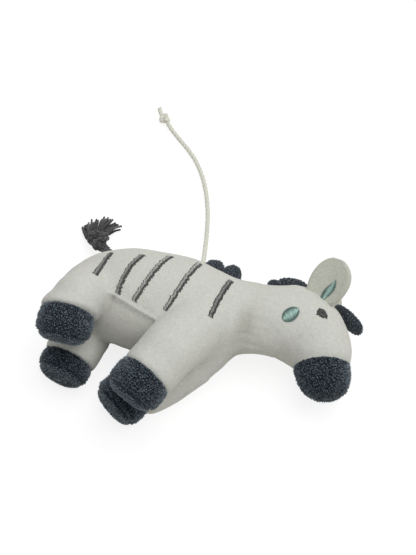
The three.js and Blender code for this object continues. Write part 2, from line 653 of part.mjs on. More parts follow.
for (const [side, way] of [["right", 1], ["left", -1]]) {
  stripes.forEach(({ top, bottom, pressed }, i) => {
    const hidden = pressed && way < 0 ? (FLANK_LIFT - top[1]) / (bottom[1] - top[1]) : 0;
    const stripe = (u, v, height) => {
      const share = lerp(hidden, 1, u);
      const x = lerp(top[0], bottom[0], share) + (v - 0.5) * STRIPE_WIDTH;
      return bodyPoint(x, way * degrees(lerp(top[1], bottom[1], share)), FIT + height);
    };
    const stitched = cut(slab(stripe, 8, 1, THREAD), ...legSockets);
    add(`stripe_${side}_${i + 1}`, aboveTable(stitched), greyThread);
  });

  // The face: an arched eye and a cheek spot on each side, stitched square to the head's surface.
  const onFace = (station, angle, tilt, right, up, height) => {
    const turn = degrees(angle);
    const radius = headRadius(station, 0);
    const stretch = 1 + Math.max(0, (radius * Math.cos(turn)) / jawReach);
    const ahead = right * Math.cos(degrees(tilt)) - up * Math.sin(degrees(tilt));
    const rise = right * Math.sin(degrees(tilt)) + up * Math.cos(degrees(tilt));
    return headPoint(station + ahead / stretch, way * (turn - rise / radius), FIT + height);
  };
  const eye = (u, v, height) => {
    const angle = Math.PI * u;
    const reach = (v - 0.5) * EYE_LINE;
    const right = -(EYE_SPAN / 2 + reach) * Math.cos(angle);
    return onFace(EYE_STATION, EYE_ANGLE, EYE_TILT, right, (EYE_RISE + reach) * Math.sin(angle), height);
  };
  const cheek = (u, v, height) => {
    const along = (u - 0.5) * 0.96 * CHEEK_LENGTH;
    const half = (CHEEK_WIDTH / 2) * Math.sqrt(1 - Math.pow((2 * along) / CHEEK_LENGTH, 2));
    return onFace(CHEEK_STATION, CHEEK_ANGLE, CHEEK_TILT, along, (2 * v - 1) * half, height);
  };
  add(`eye_${side}`, aboveTable(slab(eye, 8, 1, THREAD)), darkThread);
  add(`cheek_${side}`, aboveTable(slab(cheek, 8, 2, THREAD)), mintThread);
}

export default zebra;
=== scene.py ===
"""A small stuffed zebra on a cotton cord, lying on its left side on a pale table."""

import math

import bmesh
import bpy
import numpy as np
from mathutils import Matrix, Vector, noise
from mathutils.bvhtree import BVHTree


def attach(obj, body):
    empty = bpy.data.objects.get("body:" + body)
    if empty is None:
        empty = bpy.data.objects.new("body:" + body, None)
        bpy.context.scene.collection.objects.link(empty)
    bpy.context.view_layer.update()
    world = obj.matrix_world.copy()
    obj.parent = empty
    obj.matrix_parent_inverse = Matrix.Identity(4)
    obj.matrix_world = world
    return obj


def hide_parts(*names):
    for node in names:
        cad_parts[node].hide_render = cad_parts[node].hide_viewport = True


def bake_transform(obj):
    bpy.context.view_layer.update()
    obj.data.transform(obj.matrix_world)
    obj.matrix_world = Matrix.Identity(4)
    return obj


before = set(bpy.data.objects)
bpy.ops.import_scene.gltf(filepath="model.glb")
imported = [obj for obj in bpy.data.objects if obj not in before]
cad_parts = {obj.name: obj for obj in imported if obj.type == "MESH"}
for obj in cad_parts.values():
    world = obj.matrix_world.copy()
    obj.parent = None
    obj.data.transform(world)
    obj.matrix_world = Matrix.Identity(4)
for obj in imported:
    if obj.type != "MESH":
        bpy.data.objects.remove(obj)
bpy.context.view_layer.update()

# Camera
# The photograph looks steeply down on the toy from the side of its belly, from about an arm's
# length away. Sizes in this file are millimetres, and each piece is scaled once it is made.
MM = 0.001
AZIMUTH = math.radians(10.4)
ELEVATION = math.radians(66)
AIM = Vector((20.2, 17, 22)) * MM
DISTANCE = 0.6
PIXEL = 0.45 * MM  # size of one pixel of the photograph at the aim
IMAGE_HEIGHT = 555

towards_camera = Vector((
    math.sin(AZIMUTH) * math.cos(ELEVATION),
    -math.cos(AZIMUTH) * math.cos(ELEVATION),
    math.sin(ELEVATION),
))
lens = bpy.data.cameras.new("camera")
lens.sensor_fit = "VERTICAL"
lens.sensor_height = 36
lens.lens = lens.sensor_height * DISTANCE / (PIXEL * IMAGE_HEIGHT)
camera = bpy.data.objects.new("camera", lens)
camera.location = AIM + DISTANCE * towards_camera
camera.rotation_mode = "QUATERNION"
camera.rotation_quaternion = (-towards_camera).to_track_quat("-Z", "Y")
bpy.context.scene.collection.objects.link(camera)
bpy.context.scene.camera = camera

# Hanging cord
# Three plies of cream cotton twisted together, caught in the back seam. The cord lies slack on the
# table and ends in a single overhand knot with a short cut end past it.
CORD_ROUTE = [
    (16, 21, 17.5), (15.8, 26.5, 11.5), (15.4, 32, 6.5), (14.8, 38.5, 2.6), (14, 47.5, 1.3),
    (12.6, 58, 1.3), (10, 68.5, 1.3), (6.6, 77.3, 1.3), (2.2, 85, 1.3), (-2.8, 91, 1.3),
    (-8.3, 96.2, 1.3), (-13.2, 101, 1.3), (-15.6, 103.6, 2.2),
]
CORD_KNOT = Vector((-17.7, 105.8, 2.8))
CORD_END = [(-18.6, 106.8, 2.6), (-19.6, 108, 2.2), (-20.6, 109.8, 1.3), (-21.5, 112, 1.3)]
CORD_RADIUS = 1
CORD_PITCH = 6.5
CORD_STEP = 0.45  # between the points of a line that is wound
PLY_REACH = 0.52  # from the cord's middle to a ply's, as a share of the cord's radius
PLY_GIRTH = 0.6
TIGHT_REACH = 0.42  # the same two in the knot, which is pulled tight
TIGHT_GIRTH = 0.52
KNOT_SIZE = 2.1
KNOT_OPENING = 0.35  # radians left open where the cord enters and leaves a knot
KNOT_RISE = 1.1  # how high the crossings stand, against the knot's breadth


class Socket:
    """An output of one node of a finish; arithmetic on it adds Math nodes."""

    def __init__(self, finish, socket):
        self.finish = finish
        self.socket = socket

    def math(self, operation, first, second):
        return self.finish.node("ShaderNodeMath", {"operation": operation}, {0: first, 1: second})

    def __add__(self, other):
        return self.math("ADD", self, other)

    __radd__ = __add__

    def __sub__(self, other):
        return self.math("SUBTRACT", self, other)

    def __rsub__(self, other):
        return self.math("SUBTRACT", other, self)

    def __mul__(self, other):
        return self.math("MULTIPLY", self, other)

    __rmul__ = __mul__


class Nodes:
    """Makes the nodes of one tree."""

    def __init__(self, tree):
        self.tree = tree

    def feed(self, socket, value):
        if isinstance(value, Socket):
            self.tree.links.new(value.socket, socket)
        else:
            socket.default_value = value

    def node(self, kind, settings=None, inputs=None, output=0):
        made = self.tree.nodes.new(kind)
        for name, value in (settings or {}).items():
            setattr(made, name, value)
        for name, value in (inputs or {}).items():
            self.feed(made.inputs[name], value)
        return Socket(self, made.outputs[output])


class Finish(Nodes):
    """A material with one Principled shader, and the nodes that feed it."""

    def __init__(self, name, constants):
        self.material = bpy.data.materials.new(name)
        self.material.use_nodes = True
        super().__init__(self.material.node_tree)
        self.shader = self.tree.nodes["Principled BSDF"]
        for socket, value in constants.items():
            self.feed(self.shader.inputs[socket], value)
        self.place = self.node("ShaderNodeTexCoord", output="Object")

    def speckle(self, size, detail=2):
        """Noise whose spots are so many millimetres across."""
        return self.node("ShaderNodeTexNoise", None, {
            "Vector": self.place, "Scale": 0.6 / (size * MM), "Detail": detail,
        })

    def own(self, attribute):
        """A value that the piece's mesh carries."""
        return self.node("ShaderNodeAttribute", {"attribute_name": attribute}, output="Fac")

    def mix(self, share, first, second):
        return self.node("ShaderNodeMix", {"data_type": "RGBA"}, {0: share, 6: first, 7: second}, 2)

    def limit(self, value, low, high):
        """The share of the way that a value has come from low to high."""
        return self.node("ShaderNodeMapRange", None, {
            "Value": value, "From Min": low, "From Max": high,
        })

    def surface(self, colour, height, depth):
        """Colour and fine relief, the relief so many millimetres deep."""
        self.feed(self.shader.inputs["Base Color"], colour)
        relief = self.node("ShaderNodeBump", None, {
            "Height": height, "Distance": depth * MM, "Strength": 1.0,
        })
        self.feed(self.shader.inputs["Normal"], relief)
        return self.material


def line_through(points, steps):
    """A smooth line through the points, with so many steps from each to the next."""
    points = np.array(points, float)
    longer = np.vstack([2 * points[0] - points[1], points, 2 * points[-1] - points[-2]])
    share = np.arange(steps)[:, None] / steps
    spans = []
    for before, start, end, after in zip(longer, longer[1:], longer[2:], longer[3:]):
        bend = 2 * before - 5 * start + 4 * end - after
        turn = 3 * (start - end) + after - before
        spans.append(start + 0.5 * share * (end - before + share * (bend + share * turn)))
    return np.vstack([*spans, points[-1:]])


def run_along(line):
    """The distance along a line to each of its points."""
    return np.concatenate([[0], np.cumsum(np.linalg.norm(np.diff(line, axis=0), axis=1))])


def evenly(line, spacing):
    """The same line with its points a fixed distance apart."""
    line = np.array(line, float)
    run = run_along(line)
    places = np.linspace(0, run[-1], max(round(run[-1] / spacing), 2) + 1)
    return np.column_stack([np.interp(places, run, column) for column in line.T])


def standing(center, across, up):
    """The matrix that takes a circle to a ring with these two half axes."""
    place = Matrix((across, up, across.cross(up).normalized())).transposed().to_4x4()
    place.translation = center
    return place


def stations(line):
    """A square place at each point of a line, carried along it without twisting."""
    line = [Vector(point) for point in line]
    way = (line[1] - line[0]).normalized()
    up = way.orthogonal().normalized()
    places = []
    for i, point in enumerate(line):
        ahead = (line[min(i + 1, len(line) - 1)] - line[max(i - 1, 0)]).normalized()
        up = way.rotation_difference(ahead) @ up
        way = ahead
        places.append(standing(point, up.cross(way), up))
    return places


def loft(bm, places, sides):
    """A closed skin over rings, each of them a circle of radius 1 put in its place."""
    rings = []
    for i, place in enumerate(places):
        end = i in (0, len(places) - 1)
        made = bmesh.ops.create_circle(bm, cap_ends=end, segments=sides, radius=1, matrix=place)
        rings.append(made["verts"])
    for pair in zip(rings, rings[1:]):
        edges = [bm.edges.get((ring[i - 1], ring[i])) for ring in pair for i in range(sides)]
        bmesh.ops.bridge_loops(bm, edges=edges)
    return rings


def value_layer(bm, name):
    """The layer of the mesh in which each vertex keeps a value for the material."""
    return bm.verts.layers.float.get(name) or bm.verts.layers.float.new(name)


def tube(bm, line, radius, sides, tone=0.5):
    """A closed round tube along a line; each vertex keeps its share of the way and the tube's tone."""
    along = value_layer(bm, "along")
    tones = value_layer(bm, "tone")
    radii = np.broadcast_to(radius, len(line))
    places = [place @ Matrix.Diagonal((r, r, 1, 1)) for place, r in zip(stations(line), radii)]
    for i, ring in enumerate(loft(bm, places, sides)):
        for vert in ring:
            vert[along] = i / (len(line) - 1)
            vert[tones] = tone


def plies(line, count, reach, pitch):
    """The lines of a yarn's plies, wound round the yarn's own line."""
    run = run_along(line)
    places = stations(line)
    wound = []
    for ply in range(count):
        turns = 2 * math.pi * (run / pitch + ply / count)
        offsets = [Vector((reach * math.cos(turn), reach * math.sin(turn), 0)) for turn in turns]
        wound.append([place @ offset for place, offset in zip(places, offsets)])
    return wound


def face_outwards(bm):
    bmesh.ops.recalc_face_normals(bm, faces=bm.faces)
    if bm.calc_volume(signed=True) < 0:
        bmesh.ops.reverse_faces(bm, faces=bm.faces)


def make_piece(name, bm, material):
    """A smooth object of the mesh, in metres, with its faces outwards."""
    face_outwards(bm)
    for face in bm.faces:
        face.smooth = True
    bmesh.ops.scale(bm, vec=(MM, MM, MM), verts=bm.verts)
    mesh = bpy.data.meshes.new(name)
    bm.to_mesh(mesh)
    bm.free()
    mesh.materials.append(material)
    piece = bpy.data.objects.new(name, mesh)
    bpy.context.scene.collection.objects.link(piece)
    return piece


def sewn(name, bm, material, slot, body, *nodes):
    """A piece that rides one body and takes the place of these nodes of the solids."""
    piece = make_piece(name, bm, material)
    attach(piece, body)
    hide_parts(*nodes)
    return piece


def overhand(center, way, up, size):
    """The line of a pulled-up overhand knot, three crossings round its middle; size is its reach."""
    side = way.cross(up)
    points = []
    for turn in np.linspace(KNOT_OPENING, 2 * math.pi - KNOT_OPENING, 40).tolist():
        x = math.sin(turn) + 2 * math.sin(2 * turn)
        y = math.cos(turn) - 2 * math.cos(2 * turn)
        z = -math.sin(3 * turn)
        points.append(center + size * (x * way + y * side + KNOT_RISE * z * up) / 3)
    return points


cotton = Finish("cream_cotton", {"Roughness": 0.85, "Sheen Weight": 0.2})
fibres = cotton.speckle(0.25)
cotton_tone = cotton.mix(fibres, (0.66, 0.66, 0.575, 1), (0.87, 0.865, 0.775, 1))
cream_cotton = cotton.surface(cotton_tone, fibres, 0.12)


def cord_piece(name, node, line, reach, girth):
    """Three plies of the cord, wound round a line."""
    bm = bmesh.new()
    for ply in plies(line, 3, reach * CORD_RADIUS, CORD_PITCH):
        tube(bm, ply, girth * CORD_RADIUS, 8)
    return sewn(name, bm, cream_cotton, "cord_cotton", "cord", node)


cord_line = evenly(line_through([*CORD_ROUTE, CORD_KNOT], 8), CORD_STEP)
knot_way = (Vector(CORD_END[-1]) - Vector(CORD_ROUTE[-1])).normalized()
knot_line = evenly(overhand(CORD_KNOT, knot_way, Vector((0, 0, 1)), KNOT_SIZE), CORD_STEP)
end_line = evenly(line_through(CORD_END, 6), CORD_STEP)
hanging_cord = cord_piece("hanging_cord_plies", "hanging_cord", cord_line, PLY_REACH, PLY_GIRTH)
cord_knot = cord_piece("cord_knot_plies", "cord_knot", knot_line, TIGHT_REACH, TIGHT_GIRTH)
cord_end = cord_piece("cord_end_plies", "cord_tail", end_line, PLY_REACH, PLY_GIRTH)

# Body, sleeves and head
# White velour with a short pile, sewn from panels over a firm stuffing. The sleeves of the legs
# and the head run into the body with soft hollows; the belly has a flatter panel with a ridged seam.
BODY_HEIGHT = 21.9  # of the body's middle above the table
BODY_FLATTEN = 0.953
BODY_ROLL = math.radians(12)  # the back is turned down towards the table
BODY_LINE = [  # x, y and radius, from the rump to the collar
    (-45, -1, 0.4), (-42.8, -0.8, 7.2), (-36, -0.1, 13.8), (-27, 0.8, 19), (-13, 0.7, 22.8),
    (0, 0.2, 23.5), (13, 0.5, 22.8), (23, -0.5, 20.8), (34, -0.2, 17.5), (44, 2.2, 15.4),
]
BACK = Vector((0, math.cos(BODY_ROLL), -math.sin(BODY_ROLL)))
FLANK = Vector((0, math.sin(BODY_ROLL), math.cos(BODY_ROLL)))
LEG_RADIUS = 11.8
SLEEVE_PLACES = (0.45, 0.75, 1)  # shares of a sleeve's length where its girths are given
SLEEVE_TUCK = 1.8  # how far a sleeve runs into its hoof
TUCK_NARROWS = 2.2
NECK = Vector((44, 2.2, BODY_HEIGHT))
NECK_DROOP = math.radians(8.5)  # the neck leads down towards the table
HEAD_ROLL = math.radians(4)  # the crown is turned down towards the table
NECK_LENGTH = 15
JAW_REACH = 18  # from the middle of the head's bend to the head's middle line
HEAD_BEND = math.radians(80)
FACE_LENGTH = 17
MUZZLE_LENGTH = 15.5
HEAD_LENGTH = NECK_LENGTH + JAW_REACH * HEAD_BEND + FACE_LENGTH
MUZZLE_START = HEAD_LENGTH - MUZZLE_LENGTH
HEAD_RADII = [  # distance from the neck and radius
    (-5, 15.1), (2, 15.1), (15, 16.7), (23.8, 17.2), (MUZZLE_START, 12.8), (MUZZLE_START + 2, 12.4),
]
HEAD_OVERLAP = 3  # how far the head's form runs into the body and into the muzzle
MUZZLE_TUCK = 1.6
MUZZLE_PINCH = 0.7
POLL = 17  # distance of the highest point of the head from the neck
POLL_RISE = 0.7
JOWL_DROP = 0.8
VOXEL = 0.8
SKIN_EASE = 6  # rounds of smoothing: of the whole skin, in its hollows, on the belly and at the throat
HOLLOW_EASE = 30
BELLY_EASE = 8
THROAT_EASE = 240
HOLLOW_DEPTH = 0.01  # of a vertex under the mean of its neighbours
HOLLOW_RINGS = 5  # of vertices round a hollow, which are smoothed with it
SHOULDER = 16  # x where the belly ends
BELLY_ANGLE = 116  # degrees from the back seam
THROAT = Vector((42, -15, 20))
THROAT_REACH = 21
GATHER = 0.1
TUCK_DEPTH = 1.2
THROAT_SWELL = 1.5
THROAT_CREASES = [  # depth, degrees from the crown and their spread, place along the neck and its spread
    (0.5, 168, 5, 1, 6), (0.4, 150, 5, -2, 4), (0.4, 140, 25, -4, 1.3),
]
PANEL_EDGE = 124  # degrees from the back seam at PANEL_MIDDLE, and how they grow with x
PANEL_MIDDLE = -16
PANEL_SLOPE = 0.85
PANEL_RAMP = 2.5
PANEL_SINK = 0.7
SEAM_RIDGE = 0.5
GROOVE_DEPTH = 0.9  # beside a sleeve
TABLE_GAP = 0.06

NECK_WAY = Vector((math.cos(NECK_DROOP), 0, -math.sin(NECK_DROOP)))
HEAD_SIDE = NECK_WAY.cross(Vector((0, math.cos(HEAD_ROLL), -math.sin(HEAD_ROLL)))).normalized()
CROWN_WAY = HEAD_SIDE.cross(NECK_WAY)
JAW = NECK + NECK_LENGTH * NECK_WAY - JAW_REACH * CROWN_WAY
body_stations = line_through(BODY_LINE, 6)
head_radii = line_through(HEAD_RADII, 8)


def body_at(x):
    """The y of the body's middle line and its radius at a given x."""
    return [float(np.interp(x, body_stations[:, 0], column)) for column in body_stations.T[1:]]


def body_point(x, angle, lift):
    """A point on the body, with the angle in degrees from the back seam to the right flank."""
    y, radius = body_at(x)
    turn = math.radians(angle)
    out = math.cos(turn) * BACK + math.sin(turn) * FLANK
    reach = radius + lift
    return Vector((x, y + reach * out.y, BODY_HEIGHT + reach * BODY_FLATTEN * out.z))


def head_frame(along):
    """The middle of the head at a distance from the neck, the way it runs and the way to its crown."""
    bend = min(max((along - NECK_LENGTH) / JAW_REACH, 0), HEAD_BEND)
    way = math.cos(bend) * NECK_WAY - math.sin(bend) * CROWN_WAY
    crown = math.cos(bend) * CROWN_WAY + math.sin(bend) * NECK_WAY
    straight = along - NECK_LENGTH - JAW_REACH * bend
    return JAW + JAW_REACH * crown + straight * way, way, crown


def head_radius(along):
    return float(np.interp(along, head_radii[:, 0], head_radii[:, 1]))


def head_point(along, angle, lift):
    """A point on the head, with the angle in degrees from the crown to the right cheek."""
    center, _, crown = head_frame(along)
    turn = math.radians(angle)
    out = math.cos(turn) * crown + math.sin(turn) * HEAD_SIDE
    return center + (head_radius(along) + lift) * out


class Leg:
    """A leg's straight middle line from hip to hoof; the hoof tips down and turns against it.

    Length and hoof are the lengths of sleeve and hoof, and bends the hoof's tip and turn in degrees.
    Girths are shares of the leg's radius, three for the sleeve and one for the hoof. Roots are x, y,
    z and radius of the sleeve's start inside the body.
    """

    def __init__(self, hip, way, length, hoof, bends, girths, roots):
        self.hip = Vector(hip)
        self.way = Vector(way).normalized()
        self.across = self.way.cross(Vector((0, 0, 1))).normalized()
        self.up = self.across.cross(self.way)
        self.length = length
        self.hoof = hoof
        self.tip, self.turn = [math.radians(bend) for bend in bends]
        self.girths = girths
        self.roots = roots

    def at(self, run):
        return self.hip + run * self.way

    def bend(self, share):
        """The turn of the hoof at a share of its length; it tips down more and more."""
        tip = Matrix.Rotation(-share * self.tip, 3, self.across)
        return Matrix.Rotation(self.turn, 3, self.up) @ tip

    def hoof_at(self, run):
        """The middle of the hoof at a distance past the end of the sleeve."""
        return self.at(self.length) + run * (self.bend(0.5 * run / self.hoof) @ self.way)

    def hoof_ring(self, run, radius):
        bend = self.bend(run / self.hoof)
        axes = [self.girths[-1] * radius * (bend @ axis) for axis in (self.across, self.up)]
        return standing(self.hoof_at(run), *axes)

    def sleeve_rings(self):
        """Rings from inside the body, along a bent line, to a little way inside the hoof."""
        points = list(self.roots)
        for share, girth in zip(SLEEVE_PLACES, self.girths):
            points.append((*self.at(share * self.length), girth * LEG_RADIUS))
        points.append((*self.hoof_at(SLEEVE_TUCK), self.girths[-1] * LEG_RADIUS - TUCK_NARROWS))
        ahead = self.bend(0) @ self.way
        line = line_through(points, 5)
        rings = []
        for row, place in zip(line.tolist(), stations(line[:, :3])):
            center = Vector(row[:3])
            share = min(max((center - self.hip).dot(self.way) / self.length, 0), 1)
            across, up, along, _ = [column.xyz for column in place.col]
            axes = []
            for axis in (across, up):
                slant = share ** 2 * axis.dot(ahead) / along.dot(ahead)
                axes.append(row[3] * (axis - slant * along))
            rings.append(standing(center, *axes))
        return rings


legs = {
    "right_rear": Leg(
        hip=(-28.2, -1.9, 37.9), way=(-0.42, -0.907, 0.01), length=16, hoof=14.4, bends=(18, 22),
        girths=(0.95, 0.99, 1.02, 0.98), roots=[(-20, 4, 24, 14), (-26, -1, 29, 13.6)],
    ),
    "left_rear": Leg(
        hip=(-30, -11.2, 11.4), way=(-0.24, -0.97, 0.04), length=17.8, hoof=11.5, bends=(0, 0),
        girths=(1.08, 1.06, 1, 0.94), roots=[(-20, 2, 20, 14), (-27, -6, 14.8, 14)],
    ),
    "right_front": Leg(
        hip=(18.5, -13.4, 37.1), way=(-0.49, -0.87, 0.03), length=29, hoof=14.3, bends=(16, 0),
        girths=(1.08, 1.05, 1.02, 1.01), roots=[(24, 2, 24, 15), (21.5, -7, 29.5, 15)],
    ),
    "left_front": Leg(
        hip=(18.5, -18.9, 12.8), way=(-0.742, -0.67, -0.01), length=30.2, hoof=13, bends=(0, 11),
        girths=(1.2, 1.2, 1.1, 0.96), roots=[(36, 1, 20, 13.8), (28, -9.5, 16.2, 13.6)],
    ),
}


def fuse(bm, voxel):
    """One closed skin round all the forms in a bmesh."""
    forms = bpy.data.objects.new("forms", bpy.data.meshes.new("forms"))
    bm.to_mesh(forms.data)
    bpy.context.scene.collection.objects.link(forms)
    remesh = forms.modifiers.new("fuse", "REMESH")
    remesh.mode = "VOXEL"
    remesh.voxel_size = voxel
    fused = forms.evaluated_get(bpy.context.evaluated_depsgraph_get())
    bm.clear()
    bm.from_mesh(fused.to_mesh())
    bpy.data.objects.remove(forms)


def relax(bm, verts, times):
    for _ in range(times):
        bmesh.ops.smooth_vert(
            bm, verts=verts, factor=0.5, use_axis_x=True, use_axis_y=True, use_axis_z=True)


def hollows(bm, least, rings):
    """The vertices in and round the creases where forms meet."""
    found = set()
    for vert in bm.verts:
        near = [edge.other_vert(vert).co for edge in vert.link_edges]
        if (sum(near, Vector()) / len(near) - vert.co).dot(vert.normal) > least:
            found.add(vert)
    for _ in range(rings):
        found |= {edge.other_vert(vert) for vert in found for edge in vert.link_edges}
    return list(found)


def bump_at(value, middle, width):
    return math.exp(-(((value - middle) / width) ** 2))


def round_body(point):
    """The angle of a point from the back seam, in degrees, and its share of the body's radius."""
    y, radius = body_at(point.x)
    out = Vector((0, (point.y - y) / radius, (point.z - BODY_HEIGHT) / (radius * BODY_FLATTEN)))
    return math.degrees(math.atan2(out.dot(FLANK), out.dot(BACK))), out.length


def on_belly(point):
    return point.x <= SHOULDER and abs(round_body(point)[0]) >= BELLY_ANGLE


def neck_folds(point):
    """How far gathers and creases move the skin at the neck, and how much shade is painted there."""
    from_neck = point - NECK
    ahead = from_neck.dot(NECK_WAY)
    if not -10 < ahead < 12:
        return 0, 0
    out = from_neck - ahead * NECK_WAY
    throat = 0.5 - 0.5 * out.normalized().dot(CROWN_WAY)
    turn = math.atan2(out.dot(HEAD_SIDE), out.dot(CROWN_WAY))
    degrees = abs(math.degrees(turn))
    tuck = bump_at(degrees, 138, 36) * bump_at(ahead, -4.5, 4)
    shift = THROAT_SWELL * bump_at(degrees, 180, 35) * bump_at(ahead, 4, 8) - TUCK_DEPTH * tuck
    shift += GATHER * throat * math.sin(17 * turn + 2 * math.sin(3 * turn)) * bump_at(ahead, 1, 4)
    for depth, middle, spread, place, reach in THROAT_CREASES:
        shift -= depth * bump_at(degrees, middle, spread) * bump_at(ahead, place, reach)
    # Painted shade: strong in the tuck beside the throat, faint all round the neck.
    return shift, max(tuck, 0.2 * bump_at(ahead, 0, 6))


def belly_folds(point):
    """The same for the belly panel, its puckered seam and the grooves beside the sleeves."""
    if not -27 < point.x < 14:
        return 0, 0
    angle, share = round_body(point)
    over = abs(angle) - PANEL_EDGE - PANEL_SLOPE * (point.x - PANEL_MIDDLE)
    past = math.radians(over) * body_at(point.x)[1]
    panel = min(max(past / PANEL_RAMP, 0), 1)
    pucker = 1 + 0.35 * math.sin(3 * point.x)
    on_body = bump_at(share, 1, 0.06)
    shift = on_body * (SEAM_RIDGE * pucker * bump_at(past, -0.3, 0.8) - PANEL_SINK * panel)
    # Painted shade: a little over the belly panel, more in the grooves beside the sleeves.
    painted_shading = 0.35 * on_body * panel
    for leg in legs.values():
        run = (point - leg.hip).dot(leg.way)
        if panel and 0 < run < leg.length:
            off_leg = (point - leg.at(run)).length
            beside = bump_at(share, 1, 0.1) * bump_at(off_leg, 1.12 * LEG_RADIUS, 1)
            painted_shading = max(painted_shading, 0.8 * beside)
            shift -= GROOVE_DEPTH * beside
    return shift, painted_shading


torso_form = bmesh.new()
loft(torso_form, [
    standing(Vector((x, y, BODY_HEIGHT)), Vector((0, r, 0)), Vector((0, 0, r * BODY_FLATTEN)))
    for x, y, r in body_stations
], 72)
bmesh.ops.recalc_face_normals(torso_form, faces=torso_form.faces)
torso_tree = BVHTree.FromBMesh(torso_form)

bm = torso_form.copy()
for leg in legs.values():
    loft(bm, leg.sleeve_rings(), 48)
head_rings = []
for along in np.linspace(-HEAD_OVERLAP, MUZZLE_START + HEAD_OVERLAP, 40).tolist():
    center, _, crown = head_frame(along)
    inside = max(0, (along - MUZZLE_START) / HEAD_OVERLAP)
    pinch = MUZZLE_PINCH * bump_at(along, MUZZLE_START + 0.5, 2)
    radius = head_radius(along) - (MUZZLE_TUCK * inside + pinch)
    poll = POLL_RISE * bump_at(along, POLL, 6)
    jowl = JOWL_DROP * bump_at(along, MUZZLE_START - 4, 5)
    center += (poll - jowl) * crown
    head_rings.append(standing(center, (radius + poll + jowl) * crown, radius * HEAD_SIDE))
loft(bm, head_rings, 64)
bmesh.ops.recalc_face_normals(bm, faces=bm.faces)
fuse(bm, VOXEL)
bm.normal_update()
relax(bm, bm.verts, SKIN_EASE)
bm.normal_update()
soft = hollows(bm, HOLLOW_DEPTH, HOLLOW_RINGS)
relax(bm, [vert for vert in soft if not on_belly(vert.co)], HOLLOW_EASE)
relax(bm, [vert for vert in soft if on_belly(vert.co)], BELLY_EASE)
throat_verts = [vert for vert in bm.verts if (vert.co - THROAT).length < THROAT_REACH]
relax(bm, throat_verts, THROAT_EASE)
bm.normal_update()

painted_shade = value_layer(bm, "painted_shade")  # how much shade is painted into the velour, in folds and grooves and on the belly panel
for vert in bm.verts:
    stuffing = 0.3 * noise.noise(vert.co / 13) + 0.1 * noise.noise(vert.co / 4)
    neck_shift, neck_painted_shade = neck_folds(vert.co)
    belly_shift, belly_painted_shade = belly_folds(vert.co)
    vert[painted_shade] = max(neck_painted_shade, belly_painted_shade)
    vert.co += (stuffing + neck_shift + belly_shift) * vert.normal
    vert.co.z = max(vert.co.z, TABLE_GAP)
bm.normal_update()
skin_tree = BVHTree.FromBMesh(bm)


def white_velour(name, dark, light):
    finish = Finish(name, {
        "Roughness": 0.95, "Specular IOR Level": 0.2, "Sheen Weight": 0.25, "Sheen Roughness": 0.6,
    })
    clumps = finish.speckle(1.5, 3)
    pile = finish.speckle(0.6, 3)
    tone = 0.25 * clumps + 0.75 * pile
    colour = finish.mix(finish.limit(tone, 0.3, 0.7), dark, light)
    # Painted shade: the velour darkens towards a warm grey in its folds, its grooves and on the belly
    # panel.
    painted_shading = finish.mix(0.4 * finish.own("painted_shade"), colour, (0.3, 0.29, 0.23, 1))
    return finish.surface(painted_shading, tone, 0.3)


velour = white_velour("white_velour", (0.585, 0.59, 0.54, 1), (0.695, 0.7, 0.645, 1))

HIP_REACH = 24  # how far round a hip the body is looked at for its cut
CUT_LEAN = 0.4  # share of the leg's way in the way of the cut
CUT_GAP = 0.4  # between the body's own form and the cut
SLEEVE_REACH = 26  # how far from a sleeve's middle, and from the neck, the skin is cut
COLLAR_REACH = 6
HEAD_NUMBER = 5


def cut_skin(bm, faces, plane, normal):
    """Edges along a plane, across the faces that it meets."""
    geom = {*faces}
    for face in faces:
        geom.update(face.edges)
        geom.update(face.verts)
    bmesh.ops.bisect_plane(bm, geom=list(geom), dist=1e-5, plane_co=plane, plane_no=normal)


part = bm.faces.layers.int.new("part")  # 0 is the body, 1 to 4 are the sleeves and 5 is the head
leaning = bm.verts.layers.float_vector.new("leaning")
cuts = {}  # a point of each plane that parts a sleeve from the body, and its normal
for number, (name, leg) in enumerate(legs.items(), 1):
    from_middle = (leg.hip - Vector((leg.hip.x, 0, BODY_HEIGHT))).normalized()
    outward = torso_tree.find_nearest(leg.hip + 4 * from_middle)[1]
    normal = ((1 - CUT_LEAN) * outward + CUT_LEAN * leg.way).normalized()
    near = [vert.co for vert in torso_form.verts if (vert.co - leg.hip).length < HIP_REACH]
    level = max(normal.dot(point) for point in near) + CUT_GAP
    plane = level * normal
    middle = leg.at(0.5 * leg.length)
    sleeve_faces = [f for f in bm.faces if (f.calc_center_median() - middle).length < SLEEVE_REACH]
    cut_skin(bm, sleeve_faces, plane, normal)
    tip = leg.at(leg.length + 2)
    first = min(bm.faces, key=lambda f: (f.calc_center_median() - tip).length)
    queue = [first]
    first[part] = number
    while queue:
        for edge in queue.pop().edges:
            for face in edge.link_faces:
                if not face[part] and normal.dot(face.calc_center_median()) > level:
                    face[part] = number
                    queue.append(face)
    cuts[name] = (plane, normal)

collar = [f for f in bm.faces if abs((f.calc_center_median() - NECK).dot(NECK_WAY)) < COLLAR_REACH]
cut_skin(bm, collar, NECK, NECK_WAY)
for face in bm.faces:
    if (face.calc_center_median() - NECK).dot(NECK_WAY) > 0:
        face[part] = HEAD_NUMBER

bm.normal_update()
for vert in bm.verts:
    vert[leaning] = vert.normal


def skin_piece(number, name, nodes):
    """The part of the skin with this number, closed where it was cut from its neighbour.

    It keeps the whole skin's normals, so that no line shows at the cut.
    """
    own = bm.copy()
    layer = own.faces.layers.int["part"]
    bmesh.ops.delete(own, geom=[f for f in own.faces if f[layer] != number], context="FACES")
    rims = [edge for edge in own.edges if edge.is_boundary]
    bmesh.ops.holes_fill(own, edges=rims, sides=0)
    normals = [vert[own.verts.layers.float_vector["leaning"]].copy() for vert in own.verts]
    piece = make_piece(name, own, velour)
    piece.data.normals_split_custom_set_from_vertices(normals)
    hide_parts(*nodes)
    return piece


